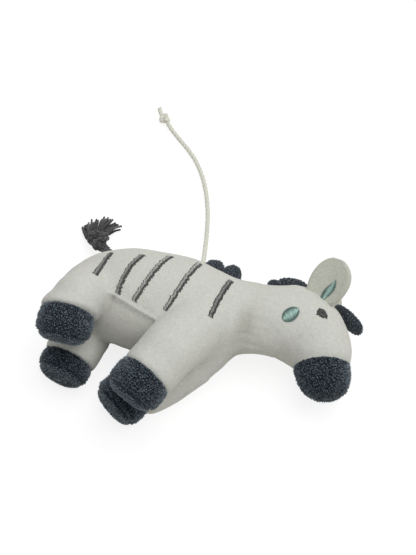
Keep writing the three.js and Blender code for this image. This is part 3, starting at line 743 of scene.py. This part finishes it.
torso = skin_piece(0, "torso_skin", [
    "torso_cover_right", "torso_cover_left", "chest_panel", "belly_panel", "seat_panel",
    "torso_filling", "cord_anchor",
])
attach(torso, "torso")
head = skin_piece(HEAD_NUMBER, "head_skin", ["head_cover_right", "head_cover_left", "head_filling"])
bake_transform(head)
for number, (name, leg) in enumerate(legs.items(), 1):
    plane, normal = cuts[name]
    sleeve = skin_piece(number, f"{name}_sleeve", [f"{name}_leg_cover", f"{name}_leg_filling"])
    reach = normal.dot(leg.at(leg.length) - plane)
    plane * MM
    (plane + 0.8 * reach * normal) * MM
    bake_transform(sleeve)

# Hooves
# Dark blue-grey plush with a longer pile, sewn to the end of each sleeve, with a round sole whose
# seam lies a little above the hoof's end. The fibres stand in small clumps with paler tips, and
# their roots are painted near black as shade between them.
HOOF_RADIUS = 11.8
SOLE_DEPTH = 2.4
END_SHARE = 0.56  # of a hoof's length, which rounds off to its end
END_TURNS = [14, 28, 42, 54, 64, 73, 80, 85, 88.5]
END_EASE = 0.8
END_SQUARE = 0.46
PILE = 1
PILE_ROOM = 0.6  # left for the pile at a hoof's end
TUFT = 0.9  # between the rows of fibres
CLUMP = 2.5  # across the clumps that they lean in
CLOTH_GAP = 0.4  # between the table and the cloth under its pile


def uncut(point):
    return 1, 0


def grow_pile(bm, faces, length, comb, seed, cut=uncut):
    """A tapering tuft of fibres on each face, leaning in clumps and combed one way.

    At each point cut gives the share of the length that is left, and how much paler or darker the tuft
    is painted.
    """
    chance = np.random.default_rng(seed)
    tip = value_layer(bm, "tip")
    tone = value_layer(bm, "tone")
    bm.normal_update()
    for vert in {vert for face in faces for vert in face.verts}:
        push = Vector(chance.normal(0, 0.2 * length, 3))
        vert.co += push - push.dot(vert.normal) * vert.normal
    faces = bmesh.ops.triangulate(bm, faces=faces)["faces"]
    broad = [face for face in faces if face.calc_area() > 0.25 * length ** 2]
    tufts = bmesh.ops.poke(bm, faces=broad, center_mode="MEAN")["verts"]
    bm.normal_update()
    for vert in tufts:
        left, paler = cut(vert.co)
        clump = noise.noise_vector(vert.co / CLUMP)
        lean = 0.8 * clump + Vector(chance.normal(0, 0.3, 3)) + comb
        lean -= lean.dot(vert.normal) * vert.normal
        rise = length * (0.7 + 0.4 * chance.random() + 0.4 * noise.noise(vert.co / 2))
        vert[tip] = 1
        vert[tone] = 0.4 + 0.7 * chance.random() + paler
        vert.co += left * (rise * vert.normal + length * lean)
        vert.co.z = max(vert.co.z, TABLE_GAP)


def dark_plush(name, painted_root_shade, pale):
    finish = Finish(name, {
        "Roughness": 0.9, "Specular IOR Level": 0.2, "Sheen Weight": 0.5, "Sheen Roughness": 0.5,
        "Sheen Tint": (0.66, 0.74, 0.8, 1),
    })
    fibres = finish.speckle(0.4)
    # The colour runs from the roots, painted near black as shade between the fibres, to the paler tips.
    height = finish.limit(finish.own("tip"), 0.35, 0.95)
    colour = finish.mix(height * (0.2 + 1.3 * finish.own("tone") * fibres), painted_root_shade, pale)
    return finish.surface(colour, fibres, 0.15)


plush = dark_plush("dark_plush", (0.005, 0.008, 0.014, 1), (0.4, 0.52, 0.63, 1))


def piled_loft(bm, places, sides, first):
    """A closed skin over rings, with a map of its own; gives its faces from the first piled ring on."""
    layer = bm.loops.layers.uv.new("OFBake")
    rings = loft(bm, places, sides)
    spots = {}
    for row, ring in enumerate(rings):
        for column, vert in enumerate(ring):
            spots[vert] = (column / (sides + 1), row / (len(rings) - 1))
    for face in bm.faces:
        wraps = len({spots[vert][0] > 0.5 for vert in face.verts}) == 2 and any(
            spots[vert][0] < 0.1 for vert in face.verts)
        for corner in face.loops:
            u, v = spots[corner.vert]
            corner[layer].uv = (u + sides / (sides + 1) if wraps and u < 0.1 else u, v)
    face_outwards(bm)
    outside = {vert for ring in rings[first:] for vert in ring}
    return [face for face in bm.faces if all(vert in outside for vert in face.verts)]


for number, (name, leg) in enumerate(legs.items()):
    end = leg.hoof - PILE_ROOM
    seam = leg.hoof - SOLE_DEPTH
    outline = [(1.4, LEG_RADIUS - 1.6), (0.4, LEG_RADIUS - 1), (0.6, HOOF_RADIUS - 0.7)]
    outline += [(0.15 * leg.hoof, HOOF_RADIUS - 0.3), (0.35 * leg.hoof, HOOF_RADIUS)]
    for turn in np.radians(END_TURNS).tolist():
        depth = END_SHARE * leg.hoof * (1 - math.sin(turn) ** END_EASE)
        outline.append((end - depth, HOOF_RADIUS * math.cos(turn) ** END_SQUARE))
    rings = []
    for run, radius in evenly(outline, TUFT).tolist():
        welt = 0.5 * bump_at(run, seam + 0.5, 0.7) - 0.6 * bump_at(run, seam - 0.9, 0.7)
        rings.append(leg.hoof_ring(run, radius + welt))

    seam_middle = leg.hoof_at(seam)
    seam_way = leg.bend(seam / leg.hoof) @ leg.way

    def short_at_seam(point):
        past = (point - seam_middle).dot(seam_way)
        welt = bump_at(past, 0.5, 0.8)
        groove = bump_at(past, -0.9, 0.7)
        # Painted light and shade: the welt's tufts are paler, those in the groove below it darker.
        return 1 - 0.7 * max(welt, groove), welt - groove

    bm = bmesh.new()
    pile_faces = piled_loft(bm, rings, round(2 * math.pi * HOOF_RADIUS / TUFT), 2)
    for vert in bm.verts:
        vert.co.z = max(vert.co.z, CLOTH_GAP)
    grow_pile(bm, pile_faces, PILE, 0.3 * seam_way, number, short_at_seam)
    nodes = (f"{name}_hoof_cover", f"{name}_hoof_sole")
    hoof = sewn(f"{name}_hoof", bm, plush, "dark_velour", f"{name}_leg", *nodes)

# Muzzle
# The same dark plush as the hooves, sewn round the end of the face as one rounded cap.
MUZZLE_RADIUS = 11.7
NOSE_ROUND = 13.5
NOSE_LIFT = 1.5
NOSE_SQUARE = 2.4
NOSE_SHARES = [0.15, 0.3, 0.45, 0.6, 0.72, 0.82, 0.9, 0.95, 0.98, 0.997]

bm = bmesh.new()
start = MUZZLE_START + 0.5
muzzle_line = [
    (start + 0.8, 11), (start - 0.2, 11.6), (start, 12), (start + 1.5, MUZZLE_RADIUS + 0.2),
]
for share in NOSE_SHARES:
    round_off = (1 - share ** NOSE_SQUARE) ** (1 / NOSE_SQUARE)
    muzzle_line.append((HEAD_LENGTH - 0.3 - NOSE_ROUND * (1 - share), MUZZLE_RADIUS * round_off))
muzzle_rings = []
for along, radius in evenly(muzzle_line, TUFT).tolist():
    center, _, crown = head_frame(along)
    center += NOSE_LIFT * (along - start) / MUZZLE_LENGTH * crown
    muzzle_rings.append(standing(center, radius * crown, radius * HEAD_SIDE))
pile_faces = piled_loft(bm, muzzle_rings, round(2 * math.pi * MUZZLE_RADIUS / TUFT), 2)
grow_pile(bm, pile_faces, PILE, 0.2 * head_frame(MUZZLE_START)[1], 9)
muzzle = sewn("muzzle", bm, plush, "dark_velour", "head", "muzzle_cover")

# Ears
# Two layers of velour sewn face to face and turned, so that each ear is a soft cupped petal with a
# rolled edge. A mint leaf is stitched inside, near the foot.
EARS = {  # foot, way to the tip, way across, side that the cup opens to
    "right": (
        Vector((72.4, 10.6, 26.2)), Vector((0.19, 0.847, 0.497)), Vector((0.935, -0.285, 0.21)), 1,
    ),
    "left": (
        Vector((72.4, 9.3, 8.2)), Vector((-0.03, 0.98, -0.182)), Vector((0.98, 0.06, 0.16)), -1,
    ),
}
EAR_LENGTH = 22.4
EAR_WIDTH = 20
EAR_CUP = 1.8
EAR_SLOPE = 0.45  # of the foot, which follows the forehead
EAR_SHIFT = 0.6
EAR_WIDEST = 0.5  # share of the way to the tip
FOOT_NARROWS = 0.4
EAR_THICKNESS = 2.6
EAR_LIFT = -0.15  # of the ear's first layer from the plane through its foot
EAR_EASE = 3  # rounds of smoothing
LEAF_FOOT = 2.6
LEAF_LENGTH = 9.5
LEAF_WIDTH = 4.4
LEAF_SLANT = 0.6
LEAF_LEAN = 2.4
LEAF_LIFT = 2.4
STITCH_RADIUS = 0.22
EDGE_TONE = 0.15  # of the stitches round a shape

ear_velour = white_velour("ear_velour", (0.5, 0.505, 0.435, 1), (0.61, 0.615, 0.535, 1))


def thread(name, edge, middle, core=0.5, spread=0.25):
    """Satin thread, painted darker at either end of a stitch as shade where it dives into the cloth.

    Core says where along a stitch its painted sheen highlight is palest, and spread how far it goes.
    """
    finish = Finish(name, {"Roughness": 0.45, "Sheen Weight": 0.3, "Sheen Roughness": 0.4})
    from_core = finish.own("along") - core
    off_core = finish.node("ShaderNodeMath", {"operation": "ABSOLUTE"}, {0: from_core})
    twist = finish.speckle(0.3)
    share = 1 - finish.limit(off_core, 0.2 * spread, spread)
    # Painted shade at the stitch ends and a painted sheen highlight at the core; tone sets how pale the
    # core gets.
    colour = finish.mix(share * finish.own("tone") * (0.7 + 0.6 * twist), edge, middle)
    return finish.surface(colour, twist, 0.1)


mint_thread = thread("mint_thread", (0.1, 0.17, 0.145, 1), (0.45, 0.66, 0.6, 1))


def satin(bm, pairs, tree, seed, tone=1, ragged=0.05):
    """A stitch from each first point to its second, arched over the cloth that the tree holds."""
    chance = np.random.default_rng(seed)
    for first, last in pairs:
        start = first.lerp(last, chance.normal(0, ragged))
        end = last.lerp(first, chance.normal(0, ragged))
        points = []
        for share, lift in [(0, -0.2), (0.12, 0.22), (0.5, 0.34), (0.88, 0.22), (1, -0.2)]:
            place, normal = tree.find_nearest(start.lerp(end, share))[:2]
            point = place + lift * normal
            point.z = max(point.z, STITCH_RADIUS + TABLE_GAP)
            points.append(point)
        tube(bm, points, STITCH_RADIUS, 6, tone * chance.uniform(0.6, 1))


for name, (foot, way, across, front) in EARS.items():
    way = way.normalized()
    facing = front * across.cross(way)

    def ear_point(along, side, lift):
        curl = EAR_CUP * (side / (EAR_WIDTH / 2)) ** 2
        low = 1 - along / EAR_LENGTH
        ahead = along + EAR_SLOPE * side * low
        sideways = side + EAR_SHIFT * low
        return foot + ahead * way + sideways * across + (lift + curl) * facing

    bm = bmesh.new()
    bmesh.ops.create_grid(bm, x_segments=20, y_segments=28, size=1)
    for vert in bm.verts:
        u = 1 - (0.5 - 0.5 * vert.co.y) ** 1.6
        past = (u - EAR_WIDEST) / (1.01 - EAR_WIDEST)
        narrow = math.sqrt(1 - past ** 2) if past > 0 else 1 - FOOT_NARROWS * past ** 2
        half = narrow * EAR_WIDTH / 2
        vert.co = ear_point(u * EAR_LENGTH, vert.co.x * half, EAR_LIFT)
    bmesh.ops.recalc_face_normals(bm, faces=bm.faces)
    bmesh.ops.solidify(bm, geom=bm.faces[:], thickness=EAR_THICKNESS)
    relax(bm, bm.verts, EAR_EASE)
    bm.normal_update()
    ear_tree = BVHTree.FromBMesh(bm)
    nodes = (f"ear_back_{name}", f"ear_front_{name}")
    ear = sewn(f"ear_{name}", bm, ear_velour, "white_velour", f"{name}_ear", *nodes)
    round_off = ear.modifiers.new("round", "SUBSURF")
    round_off.levels = 1
    round_off.render_levels = 1

    bm = bmesh.new()
    edges = {-1: [], 1: []}
    for u in np.linspace(0, 1, 22).tolist():
        half = (LEAF_WIDTH / 2) * math.sin(math.pi * (0.04 + 0.92 * u))
        for edge, line in edges.items():
            along = LEAF_FOOT + u * LEAF_LENGTH + LEAF_SLANT * edge
            line.append(ear_point(along, LEAF_LEAN * u - 0.2 + edge * half, LEAF_LIFT))
    satin(bm, list(zip(edges[-1], edges[1])), ear_tree, 21)
    for edge in edges.values():
        satin(bm, list(zip(edge, edge[1:])), ear_tree, 22, EDGE_TONE)
    leaf = f"ear_leaf_{name}"
    sewn(f"{leaf}_stitches", bm, mint_thread, "mint_thread", f"{name}_ear", leaf)

# Mane and forelock
# Padded tufts of the dark plush, clipped short, sewn into the seam along the back and down the
# head, and one longer lock before the ears that falls over the forehead.
TUFT_THICKNESS = 6
BODY_TUFTS = [(21.8, 9.4, 8.8), (30.2, 8.6, 10.4)]  # x, length and height
HEAD_TUFTS = [(6.5, 6, 4.4), (14.8, 14.6, 6.2), (21, 8.6, 7.6)]  # from the neck, length and height
TUFT_ROUND = 0.66  # half height of a lobe and height of its middle, as shares of the tuft's height
TUFT_STAND = 0.3
LOCK_ROOT = Vector((78.6, 15.2, 18.5))
LOCK_TIP = Vector((92, 4.4, 17.5))
LOCK_WIDTH = 9
LOCK_THICKNESS = 6
LOCK_FLARE = 0.3
SHORT_PILE = 0.6

short_plush = dark_plush("short_dark_plush", (0.018, 0.022, 0.028, 1), (0.28, 0.34, 0.4, 1))


def lobe(name, body, node, center, along, up, half, seed, flare):
    """A padded lobe with a seam round its edge; half gives its half length, height and thickness."""
    along = along.normalized()
    side = along.cross(up).normalized()
    up = side.cross(along)
    bm = bmesh.new()
    bm.loops.layers.uv.new("OFBake")
    bmesh.ops.create_icosphere(bm, subdivisions=3, radius=1, calc_uvs=True)
    for vert in bm.verts:
        x, y, z = vert.co
        x *= 1.2 - 0.2 * x ** 2
        pinch = 1 - 0.12 * bump_at(z, 0, 0.12)
        rise = y * (1 + flare * x) * pinch
        vert.co = center + half[0] * x * along + half[1] * rise * up + half[2] * z * side
    grow_pile(bm, bm.faces[:], SHORT_PILE, Vector(), seed)
    piece = sewn(name, bm, short_plush, "dark_velour", body, node)


tufts = []
for x, length, height in BODY_TUFTS:
    tufts.append(("torso", body_point(x, 0, 0), Vector((1, 0, 0)), BACK, length, height))
for along, length, height in HEAD_TUFTS:
    _, way, crown = head_frame(along)
    tufts.append(("head", head_point(along, 0, 0), way, crown, length, height))
for number, (body, foot, way, up, length, height) in enumerate(tufts, 1):
    half = (length / 2, TUFT_ROUND * height, TUFT_THICKNESS / 2 - 0.3)
    center = foot + TUFT_STAND * height * up
    lobe(f"mane_lobe_{number}", body, f"mane_tuft_{number}", center, way, up, half, 30 + number, 0)
lock = LOCK_TIP - LOCK_ROOT
lock_half = (lock.length / 2 - 0.3, LOCK_WIDTH / 2 - 0.4, LOCK_THICKNESS / 2 - 0.2)
lock_middle = LOCK_ROOT.lerp(LOCK_TIP, 0.5)
lobe("forelock_lobe", "lock", "forelock", lock_middle, lock, HEAD_SIDE, lock_half, 40, LOCK_FLARE)

# Tail
# Charcoal yarn of three thick plies, sewn into the back seam, tied in an overhand knot, with its
# end opened into curling strands.
TAIL_ROOT = Vector((-25, 20, 17.5))
TAIL_BEND = Vector((-27.6, 25, 11))
TAIL_KNOT = Vector((-35, 32, 4.9))
TAIL_KNOT_SIZE = 3.5
TAIL_STEP = 0.6  # between the points of a line that is wound
PLY_RADIUS = 1.15
PLY_PITCH = 8
STRAND_PITCH = -4.5  # against the plies
STRAND_GIRTH = 0.55  # share of a ply's radius
TASSEL_LENGTH = 14.4
TASSEL_HALF_WIDTH = 11
FAN = (-80, 22)  # degrees from straight off the back, of the outermost strands
FAN_START = 3.4  # from the middle of the knot
FAN_HEIGHTS = (0.9, 1.8, 2.8, 3.8)  # where the strands of each layer end
STRAND_RADII = (0.75, 0.45)
STRAND_LOWEST = 0.85

yarn = Finish("tail_yarn", {"Roughness": 0.9, "Sheen Weight": 0.3, "Sheen Roughness": 0.5})
fuzz = yarn.speckle(0.35)
paler = fuzz * (0.1 + yarn.own("tone"))
yarn_tone = yarn.mix(paler, (0.002, 0.002, 0.003, 1), (0.17, 0.17, 0.173, 1))
tail_yarn = yarn.surface(yarn_tone, fuzz, 0.25)
chance = np.random.default_rng(5)


def wind_yarn(bm, line):
    """Three plies wound round a line, each of them wound from three strands, with shade painted dark
    between them.
    """
    for ply in plies(line, 3, PLY_RADIUS, PLY_PITCH):
        for strand in plies(evenly(ply, TAIL_STEP), 3, STRAND_GIRTH * PLY_RADIUS, STRAND_PITCH):
            tube(bm, strand, STRAND_GIRTH * PLY_RADIUS, 6, chance.uniform(0.5, 1))
    # Painted shade: the tone fades to nothing on the strands' inner sides, near the yarn's middle line.
    tone = value_layer(bm, "tone")
    for vert in bm.verts:
        depth = min((vert.co - Vector(point)).length for point in line.tolist())
        vert[tone] *= min(max((depth - 1.2 * PLY_RADIUS) / (0.8 * PLY_RADIUS), 0), 1)


stem_end = TAIL_KNOT + Vector((2.4, -1, 0.5))
stem_line = evenly(line_through([TAIL_ROOT, TAIL_BEND, stem_end], 8), TAIL_STEP)
bm = bmesh.new()
wind_yarn(bm, stem_line)
sewn("tail_stem_plies", bm, tail_yarn, "tail_yarn", "tail", "tail_stem")

bm = bmesh.new()
knot_way = Vector((0.3, 0.95, 0))
knot_middle = TAIL_KNOT + Vector((0.1, 1, 2.5))
knot_line = evenly(overhand(knot_middle, knot_way, Vector((0, 0, 1)), TAIL_KNOT_SIZE), TAIL_STEP)
wind_yarn(bm, knot_line)
sewn("tail_knot_plies", bm, tail_yarn, "tail_yarn", "tail", "tail_knot")

bm = bmesh.new()
for layer, height in enumerate(FAN_HEIGHTS):
    for degrees in np.linspace(*FAN, 13 - layer).tolist():
        turn = math.radians(degrees + chance.uniform(-4, 4))
        out = Vector((math.sin(turn), math.cos(turn), 0))
        right = Vector((out.y, -out.x, 0))
        start = knot_middle + FAN_START * out + Vector((0, 0, 0.7 * layer - 3.6))
        oval = math.hypot(out.x / TASSEL_HALF_WIDTH, out.y / TASSEL_LENGTH)
        reach = chance.uniform(0.85, 1.02) / oval
        bend = 3.6 + 2 * min(max((-degrees - 50) / 30, 0), 1)
        phase = chance.uniform(0, 2 * math.pi)
        points = []
        for share in np.linspace(0, 1, 10).tolist():
            across = bend * share ** 2 + 0.3 * math.sin(phase + 7 * share)
            point = start + share * (reach - FAN_START) * out + across * right
            point.z += (height - start.z) * share
            point.z = max(point.z, STRAND_LOWEST)
            points.append(point)
        strand = evenly(points, 0.8)
        radii = np.linspace(*STRAND_RADII, len(strand))
        # Lower layers get darker tones at random, as painted shade under the upper strands.
        tube(bm, strand, radii, 6, chance.uniform(0, 0.6 + 0.4 * layer))
# Painted shade: each strand darkens towards its root at the knot.
along = value_layer(bm, "along")
tone = value_layer(bm, "tone")
for vert in bm.verts:
    vert[tone] *= vert[along]
sewn("tail_strands", bm, tail_yarn, "tail_yarn", "tail", "tail_tassel")

# Embroidery
# Five satin-stitched stripes on each flank, an arched eye and a mint cheek spot on each side of the
# face. The stitches lie side by side across each shape.
STRIPES = [  # x and degrees from the back seam, at the top and at the bottom, bow, and paleness of the painted highlight
    ((-22.7, 61), (-26, 105), 0.4, 0.5),
    ((-8.4, 64), (-15, 120), 1.3, 0.7),
    ((3.4, 56), (-7.5, 124), 0, 1),
    ((16.5, 54), (6.5, 128), -0.9, 1),
    ((31.5, 63), (26.2, 125), 0, 0.5),
]
PRESSED = (2, 3, 4)  # on the left flank these start where it leaves the table
FLANK_LIFT = 101
STRIPE_WIDTH = 2.3
STITCH_SPACING = 0.52
RAGGED = 0.08  # how far the ends of the stitches stray, as a share of their length
CHEEK = {"along": 13.5, "angle": 101, "tilt": 45, "length": 8, "width": 5.6}
EYE = {"along": 26, "angle": 80, "tilt": 34, "span": 3.5, "rise": 2.6, "line": 1.9}
PUPIL_HALF_WIDTH = 0.9
PUPIL_SPAN = (-0.6, 1.7)  # from below the arch's feet to its inner edge
FACE_LIFT = 0.3

grey_thread = thread("stripe_thread", (0.04, 0.043, 0.04, 1), (0.68, 0.69, 0.64, 1), 0.42, 0.17)
dark_thread = thread("dark_thread", (0.008, 0.009, 0.007, 1), (0.045, 0.048, 0.042, 1))


def on_flank(x, angle):
    """A point of the skin, straight out from the body's middle line."""
    outside = body_point(x, angle, 20)
    inside = body_point(x, angle, -10)
    return skin_tree.ray_cast(outside, (inside - outside).normalized())[0]


def on_face(way, at, right, up):
    """A point of the face, by distances from the middle of an embroidered shape."""
    radius = head_radius(at["along"])
    stretch = 1 + max(0, radius * math.cos(math.radians(at["angle"])) / JAW_REACH)
    tilt = math.radians(at["tilt"])
    ahead = right * math.cos(tilt) - up * math.sin(tilt)
    rise = right * math.sin(tilt) + up * math.cos(tilt)
    angle = way * (at["angle"] - math.degrees(rise / radius))
    return head_point(at["along"] + ahead / stretch, angle, FACE_LIFT)


for side, way in (("right", 1), ("left", -1)):
    for number, (top, bottom, bow, paleness) in enumerate(STRIPES, 1):
        hidden = 0
        if way < 0 and number in PRESSED:
            hidden = (FLANK_LIFT - top[1]) / (bottom[1] - top[1])
        shares = np.linspace(hidden, 1, 40)
        across = top[0] + shares * (bottom[0] - top[0]) - 4 * bow * shares * (1 - shares)
        around = top[1] + shares * (bottom[1] - top[1])
        middle = [on_flank(x, way * angle) for x, angle in zip(across.tolist(), around.tolist())]
        run = run_along(middle)
        places = np.linspace(0, run[-1], round(float(run[-1]) / STITCH_SPACING))
        pairs = []
        for place in places:
            x, angle = [float(np.interp(place, run, row)) for row in (across, around)]
            ends = []
            for reach in (-1, 1):
                ends.append(on_flank(x + reach * STRIPE_WIDTH / 2, way * (angle + reach)))
            pairs.append(ends)
        bm = bmesh.new()
        satin(bm, pairs, skin_tree, number, paleness, RAGGED)
        node = f"stripe_{side}_{number}"
        sewn(f"{node}_stitches", bm, grey_thread, "stripe_thread", "torso", node)

    pairs = []
    for turn in np.linspace(0, math.pi, 22).tolist():
        ends = []
        for reach in (-0.5 * EYE["line"], 0.5 * EYE["line"]):
            right = -(EYE["span"] / 2 + reach) * math.cos(turn)
            ends.append(on_face(way, EYE, right, (EYE["rise"] + reach) * math.sin(turn)))
        pairs.append(ends)
    bm = bmesh.new()
    satin(bm, pairs, skin_tree, 50)
    fill = []
    for right in np.linspace(-PUPIL_HALF_WIDTH, PUPIL_HALF_WIDTH, 6).tolist():
        fill.append([on_face(way, EYE, right, up) for up in PUPIL_SPAN])
    satin(bm, fill, skin_tree, 51, 3)
    sewn(f"eye_{side}_stitches", bm, dark_thread, "dark_thread", "head", f"eye_{side}")

    pairs = []
    for share in np.linspace(-0.47, 0.47, 24).tolist():
        along = share * CHEEK["length"]
        half = CHEEK["width"] / 2 * math.sqrt(1 - 4 * share ** 2)
        pairs.append([on_face(way, CHEEK, along + 0.3 * reach, reach * half) for reach in (-1, 1)])
    bm = bmesh.new()
    satin(bm, pairs, skin_tree, 60)
    edge = []
    for turn in np.linspace(0, 2 * math.pi, 31).tolist():
        right = CHEEK["length"] / 2 * math.cos(turn)
        up = CHEEK["width"] / 2 * math.sin(turn)
        edge.append(on_face(way, CHEEK, right, up))
    satin(bm, list(zip(edge, edge[1:])), skin_tree, 61, EDGE_TONE)
    sewn(f"cheek_{side}_stitches", bm, mint_thread, "mint_thread", "head", f"cheek_{side}")

# Table and light
# A plain white table under one broad soft light, nearly overhead, with even light all round. The
# camera sees the table brighter than it shines on the toy.
FLOOR_SIZE = 3.0
LIGHT_PLACE = Vector((0.28, 0.24, 0.95))
LIGHT_SIZE = 0.9
LIGHT_POWER = 6.5
ROOM_LIGHT = 0.4


def seen_directly(nodes):
    """1 for a ray from the camera, or one mirrored or let through by a surface; 0 for light."""
    kinds = ("Is Camera Ray", "Is Glossy Ray", "Is Transmission Ray")
    rays = [nodes.node("ShaderNodeLightPath", output=kind) for kind in kinds]
    camera_ray, mirrored, let_through = rays
    return camera_ray.math("MAXIMUM", camera_ray, mirrored.math("MAXIMUM", mirrored, let_through))


bm = bmesh.new()
bmesh.ops.create_grid(bm, x_segments=1, y_segments=1, size=FLOOR_SIZE / 2 / MM)
table_top = bpy.data.materials.new("table_white")
table_top.use_nodes = True
table_top.node_tree.nodes.clear()
table = Nodes(table_top.node_tree)
lit = table.node("ShaderNodeBsdfDiffuse", None, {"Color": (0.8, 0.78, 0.72, 1)})
shade = table.node("ShaderNodeBsdfDiffuse", None, {"Color": (0.28, 0.28, 0.28, 1)})
glow = table.node("ShaderNodeEmission", None, {"Strength": 0.82})
shown = table.node("ShaderNodeAddShader", None, {0: shade, 1: glow})
choice = table.node("ShaderNodeMixShader", None, {0: seen_directly(table), 1: lit, 2: shown})
output = table.tree.nodes.new("ShaderNodeOutputMaterial")
table.feed(output.inputs["Surface"], choice)
floor = make_piece("table", bm, table_top)

lamp = bpy.data.lights.new("soft_light", "AREA")
lamp.size = LIGHT_SIZE
lamp.energy = LIGHT_POWER
soft_light = bpy.data.objects.new("soft_light", lamp)
soft_light.location = LIGHT_PLACE
soft_light.rotation_mode = "QUATERNION"
soft_light.rotation_quaternion = (AIM - LIGHT_PLACE).to_track_quat("-Z", "Y")
bpy.context.scene.collection.objects.link(soft_light)

room = bpy.data.worlds.new("room")
room.use_nodes = True
bpy.context.scene.world = room
air = Nodes(room.node_tree)
strength = air.node("ShaderNodeMapRange", None, {
    "Value": seen_directly(air), "To Min": ROOM_LIGHT, "To Max": 1.0,
})
sky = room.node_tree.nodes["Background"]
air.feed(sky.inputs["Color"], (1, 1, 1, 1))
air.feed(sky.inputs["Strength"], strength)

bpy.context.scene.view_settings.view_transform = "Standard"
